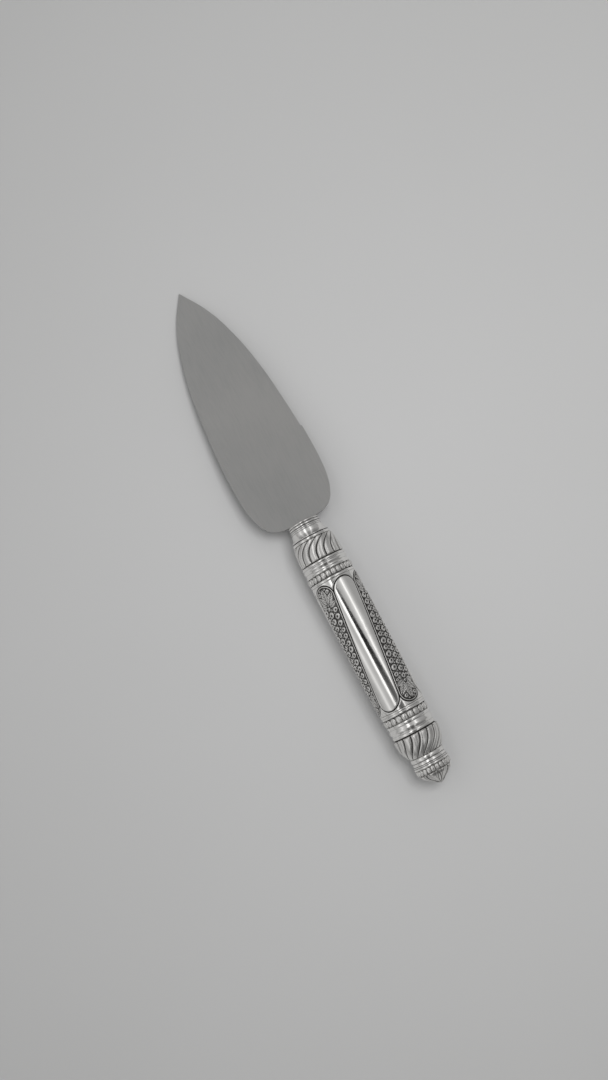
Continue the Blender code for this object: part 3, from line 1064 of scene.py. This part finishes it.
# %% One berry
BERRY_RINGS = [  # radius, height, patina and how far off the middle, for a berry of radius 1
    (1.0, 0.0, 1.0, 0.0),
    (0.95, 0.20, 1.0, 0.0),
    (0.88, 0.38, 0.5, 0.0),
    (0.77, 0.52, 0.0, 0.01),
    (0.62, 0.61, 0.0, 0.05),
    (0.48, 0.62, 0.0, 0.10),
    (0.36, 0.56, 0.5, 0.14),
    (0.25, 0.45, 1.0, 0.17),
    (0.10, 0.40, 0.8, 0.17),
]


def nearest_ring(place):
    """The ring of the berry that a point lies on."""
    return min(BERRY_RINGS, key=lambda ring: abs(math.hypot(place.x - ring[3], place.y) - ring[0]))


def model_berry():
    start_piece()
    bpy.ops.mesh.primitive_circle_add(vertices=18, radius=MM, fill_type="NGON")
    berry = bpy.context.object
    bpy.ops.object.mode_set(mode="EDIT")
    bpy.ops.mesh.select_all(action="SELECT")
    for (wide, low, _, before), (narrow, high, _, after) in zip(BERRY_RINGS, BERRY_RINGS[1:]):
        step = ((after - before) * MM, 0.0, (high - low) * MM)
        bpy.ops.mesh.extrude_region_move(TRANSFORM_OT_translate={"value": step})
        bpy.ops.transform.resize(value=(narrow / wide, narrow / wide, 1))
    bpy.ops.mesh.poke()
    bpy.ops.mesh.select_all(action="SELECT")
    bpy.ops.mesh.normals_make_consistent(inside=False)
    bpy.ops.object.mode_set(mode="OBJECT")
    set_patina(berry, [nearest_ring(vertex.co / MM)[2] for vertex in berry.data.vertices])
    return berry


def place_copy(master, x, y, size, angle):
    """A copy of a flat ornament, with its own mesh, turned and sized and put down on the ground."""
    turn = Matrix.Rotation(angle, 4, "Z")
    scale = Matrix.Diagonal((*size, 1))
    return copy_of(master, Matrix.Translation(Vector((x, y, GROUND)) * MM) @ turn @ scale)


berry_master = model_berry()
print("berry:", len(berry_master.data.polygons), "faces")

# %% [markdown]
# Leaves: pointed ovals with a rolled edge, a middle vein and five pairs of side veins. The veins are
# shallow lines that hold the oxide, so they are pressed into a small grid by a rule.

# %% One leaf
LEAF_LONG, LEAF_HALF = 7.6, 2.0


def leaf_half(share):
    """Half the leaf's width at a share of its length, in mm."""
    return LEAF_HALF * np.sin(math.pi * share**0.9) ** 0.85 + 0.02


def model_leaf():
    leaf, share, side = flat_grid(48, 24)
    half = leaf_half(share)
    x = LEAF_LONG * share
    y = half * side
    from_edge = (1 - np.abs(side)) * half
    middle = np.exp(-((y / 0.20) ** 2)) * ease(share, 0.02, 0.1)
    slanted = (share * 5.5 - np.abs(y) * 0.75) % 1.0
    veins = np.exp(-(((slanted - 0.5) / 0.16) ** 2)) * ease(from_edge, 0.15, 0.4)
    rim = 0.42 * np.sqrt(1 - (1 - np.clip(from_edge / 0.45, 0, 1)) ** 2)
    cupped = -0.10 * ease(from_edge, 0.35, 0.8)
    set_flat(leaf, x, y, rim + cupped - 0.14 * middle - 0.07 * veins)
    foot = 1 - ease(from_edge, 0.06, 0.24)
    set_patina(leaf, np.maximum.reduce([foot, middle, 0.85 * veins]))
    return leaf


leaf_master = model_leaf()
print("leaf:", len(leaf_master.data.polygons), "faces")

# %% [markdown]
# Each chased panel has five leaves fanned at each end, and berries everywhere else. A leaf counts as a
# row of discs, which the berries keep clear of.

# %% Where the leaves go
FAN = [  # turn of a leaf in degrees, its foot aside and ahead in mm, its length, width and height
    (-70, -1.0, -0.8, 0.66, 0.66, 0.8),
    (70, 1.0, -0.8, 0.66, 0.66, 0.8),
    (-35, -1.0, 0.2, 0.92, 0.90, 0.95),
    (35, 1.0, 0.2, 0.92, 0.90, 0.95),
    (0, 0.0, 0.8, 1.08, 0.95, 1.25),
]
FAN_FOOT = 3.9  # from the centre of the panel's round end, inwards
DISC_SHARES = (0.2, 0.35, 0.5, 0.65, 0.8, 0.93)  # where the discs stand along a leaf


def leaf_places():
    """For each leaf of a panel: the place of its foot, its length, width and height, and its turn."""
    places = []
    for stem, way, sign in ((ROUND_START + FAN_FOOT, math.pi, -1), (ROUND_END - FAN_FOOT, 0.0, 1)):
        for turn, aside, ahead, *size in FAN:
            places.append((stem + sign * ahead, sign * aside, size, way + math.radians(turn)))
    return places


def leaf_discs(x, y, size, angle):
    """Discs (centre and radius) that cover a leaf."""
    for share in DISC_SHARES:
        reach = LEAF_LONG * size[0] * share
        radius = float(leaf_half(share)) * size[1]
        yield x + reach * math.cos(angle), y + reach * math.sin(angle), radius


# %% [markdown]
# The large berries stand in three loose rows, and then the widest gap is filled again and again until no
# small one fits. To find the gaps, the free room is kept for a grid of spots. The random source is seeded
# for each panel, so the spread is uneven like hand work, and yet always the same.

# %% Where the berries go
BIG_BERRY, SMALL_BERRY, LEAST_BERRY = 1.72, 1.6, 0.40
BERRY_ROWS = (-3.55, 0.0, 3.55)
BERRY_STEP = 3.5  # along a row
BERRY_GAP = 0.08
FOOT_ROOM = 3.0  # kept free of large berries at the leaves' feet, at both ends together
RIM = 0.72  # width of the rim and its line
SPOT_STEP = 0.25


def large_berries(chance):
    """Centres and radii of the three rows."""
    places = []
    middle = (ROUND_START + ROUND_END) / 2
    count = int((ROUND_END - ROUND_START - 2 * FAN_FOOT - FOOT_ROOM) / BERRY_STEP)
    for row, row_y in enumerate(BERRY_ROWS):
        for number in range(count):
            x = middle + (number - count / 2 + 0.25 + 0.5 * (row % 2)) * BERRY_STEP
            size = BIG_BERRY * chance.uniform(0.78, 1.08)
            x += chance.uniform(-0.25, 0.25)
            y = row_y * (1 + 0.3 * (1 - size / BIG_BERRY))
            places.append((x, y, size))
    return places


def berry_places(chance, leaves):
    """Centres and radii of a panel's berries: the large ones by rule, the rest in the gaps."""
    half = PANEL_HALF - RIM
    places = large_berries(chance)
    columns, rows = np.arange(PANEL_START, PANEL_END, SPOT_STEP), np.arange(-half, half, SPOT_STEP)
    x, y = (line.ravel() for line in np.meshgrid(columns, rows))
    room = from_outline(x, y, half)
    taken = [disc for leaf in leaves for disc in leaf_discs(*leaf)]
    for centre_x, centre_y, size in taken + places:
        room = np.minimum(room, np.hypot(x - centre_x, y - centre_y) - size)
    while room.max() - BERRY_GAP > LEAST_BERRY:
        widest = int(room.argmax())
        size = min(room[widest] - BERRY_GAP, SMALL_BERRY * chance.uniform(0.8, 1.0))
        places.append((x[widest], y[widest], size))
        room = np.minimum(room, np.hypot(x - x[widest], y - y[widest]) - size)
    return places


# %% Ornament of the chased panels
FIRST_SEED = 20


def ornament(number):
    chance = random.Random(FIRST_SEED + number)
    leaves = leaf_places()
    pieces = [place_copy(leaf_master, *leaf) for leaf in leaves]
    berries = berry_places(chance, leaves)
    for x, y, size in berries:
        height = 0.55 + 0.29 * size
        turn = chance.uniform(0, math.tau)
        pieces.append(place_copy(berry_master, x, y, (size, size, height), turn))
    print(f"panel {number + 1}: {len(leaves)} leaves, {len(berries)} berries")
    joined = join(pieces)
    roll(joined, 2 * number + 1)
    return joined


for panel_number in range(PANELS // 2):
    chased = join([ornament(panel_number), chased_ground(panel_number)])
    finish_piece(chased, f"chased_panel_{panel_number + 1}", [], CHASED, 75)
for master in (berry_master, leaf_master):
    bpy.data.objects.remove(master)

# %% [markdown]
# Between the round ends of the panels, small polished triangles are left standing. At each end they
# hang together by a thin ring, like the teeth of a crown, so each end is one strip of grid whose free
# edge is pulled up between the panels and that is then rolled.

# %% Spandrels between the panel ends
SPANDREL_ROWS = 6
SPANDREL_COLUMNS = 24  # for each panel


def spandrels(name, end_line, round_centre, way):
    """The strip from the end line of the grip to the panel ends. The way is +1 at the blade end."""
    grid, share, side = flat_grid(SPANDREL_ROWS, PANELS * SPANDREL_COLUMNS)
    y = side * PANELS / 2 * PITCH
    from_centre = np.abs((y + PITCH / 2) % PITCH - PITCH / 2)
    reach = PANEL_HALF + LINE
    bow = np.sqrt(np.maximum(reach**2 - from_centre**2, 0))
    edge = round_centre - way * bow
    x = end_line + (edge - end_line) * share
    from_edge = np.abs(edge - x)
    fall = 0.3 * (1 - ease(from_edge, 0.0, 0.35))
    set_flat(grid, x, y, 0.08 - fall)
    set_patina(grid, 0.7 * (1 - ease(from_edge, 0.0, 0.15)))
    skirt(grid, 0.7)
    roll(grid, 0)
    pick(grid)
    bpy.ops.object.mode_set(mode="EDIT")
    close_up()
    finish_piece(grid, name, [], SILVER)


spandrels("upper_spandrels", GRIP_START, ROUND_START, 1)
spandrels("lower_spandrels", GRIP_END, ROUND_END, -1)

# %% [markdown]
# ## The bud
#
# The handle ends in a pointed bud of eight folded petals. A turned bud is pressed into petals: each has
# a sharp ridge down its middle, and narrows to a point that leaves the next layer bare. A crease looks
# torn where it crosses the mesh at a slant, so the press also slides the points sideways, and a line of
# the mesh follows each crease.

# %% Pointed bud
PETALS = 8
PETAL_STEPS = 16
BUD_ROWS = 48
BUD = [(0, 7.9), (0.07, 8.1), (0.25, 7.55), (0.45, 5.95), (0.7, 3.2), (0.9, 1.05), (1, 0.02)]
bud_start, bud_end = span("finial_bud")
bud_end -= GAP / 2 / MM  # the last solid has no neighbour to meet
bud_shares = np.linspace(0, 1, BUD_ROWS)
bud_line = zip(bud_shares, smooth_line(BUD, bud_shares))
bud_outer = [(bud_start + (bud_end - bud_start) * s, r) for s, r in bud_line]
bud = lathe([(bud_start, 0.0)] + bud_outer, PETALS * PETAL_STEPS)
print(f"bud: from {bud_start:.1f} to {bud_end:.1f} mm")

# %% Folding the petals
RIDGE_TURN = 3.0  # degrees, the ridge nearest the top
VEIN_LINE = 0.375  # the lines of the mesh that a vein and a crease follow, as shares of half a petal
CREASE_LINE = 0.75
RIDGE, EDGE, UNDER = 0.50, 0.08, -0.30  # height of a petal's ridge over its edge, of its edge, and below it


def fold_petals(d, radius, turn):
    """Slide the mesh's lines onto the creases, then raise the petals and sink what lies under them."""
    share = np.clip((d - bud_start) / (bud_end - bud_start), 0, 1)
    sector = turn / math.tau * PETALS
    middle = np.floor(sector + 1e-4) + 0.5
    side = 2 * (sector - middle)
    line = np.abs(side)
    width = np.clip(1 - 0.95 * share**1.4, 0.08, 1)  # how much of its sector a petal fills
    inside = line <= CREASE_LINE + 1e-4
    beyond = (line - CREASE_LINE) / (1 - CREASE_LINE)
    place = np.where(inside, line / CREASE_LINE * width, width + beyond * (1 - width))
    turn = math.radians(RIDGE_TURN) + (middle + np.sign(side) * place / 2) * math.tau / PETALS
    petal = EDGE + RIDGE * (1 - line / CREASE_LINE)
    under = UNDER + 0.32 * beyond * (1 - width)
    fade = ease(share, 0.0, 0.06) * (1 - ease(share, 0.88, 1.0))
    lift = np.where(inside, petal, under) * fade
    lift = np.where(np.abs(line - CREASE_LINE) < 0.02, UNDER * fade, lift)
    outside = radius > 0.1
    crease = np.exp(-(((line - CREASE_LINE) / 0.10) ** 2)) * fade
    vein = 0.7 * np.exp(-(((line - VEIN_LINE) / 0.07) ** 2)) * fade
    lift = lift - 0.12 * vein
    return d, np.where(outside, radius + lift, radius), turn, np.where(outside, crease + vein, 0)


press(bud, fold_petals)
finish_piece(bud, "finial_bud_finished", ["finial_bud"], CHASED, 35)

# %% Finishes of the solids that stay
for node, material in (("mouth_plate", SILVER), ("core_filler", RESIN)):
    kept = frame["nodes"][node]
    kept.data.materials.clear()
    kept.data.materials.append(material)
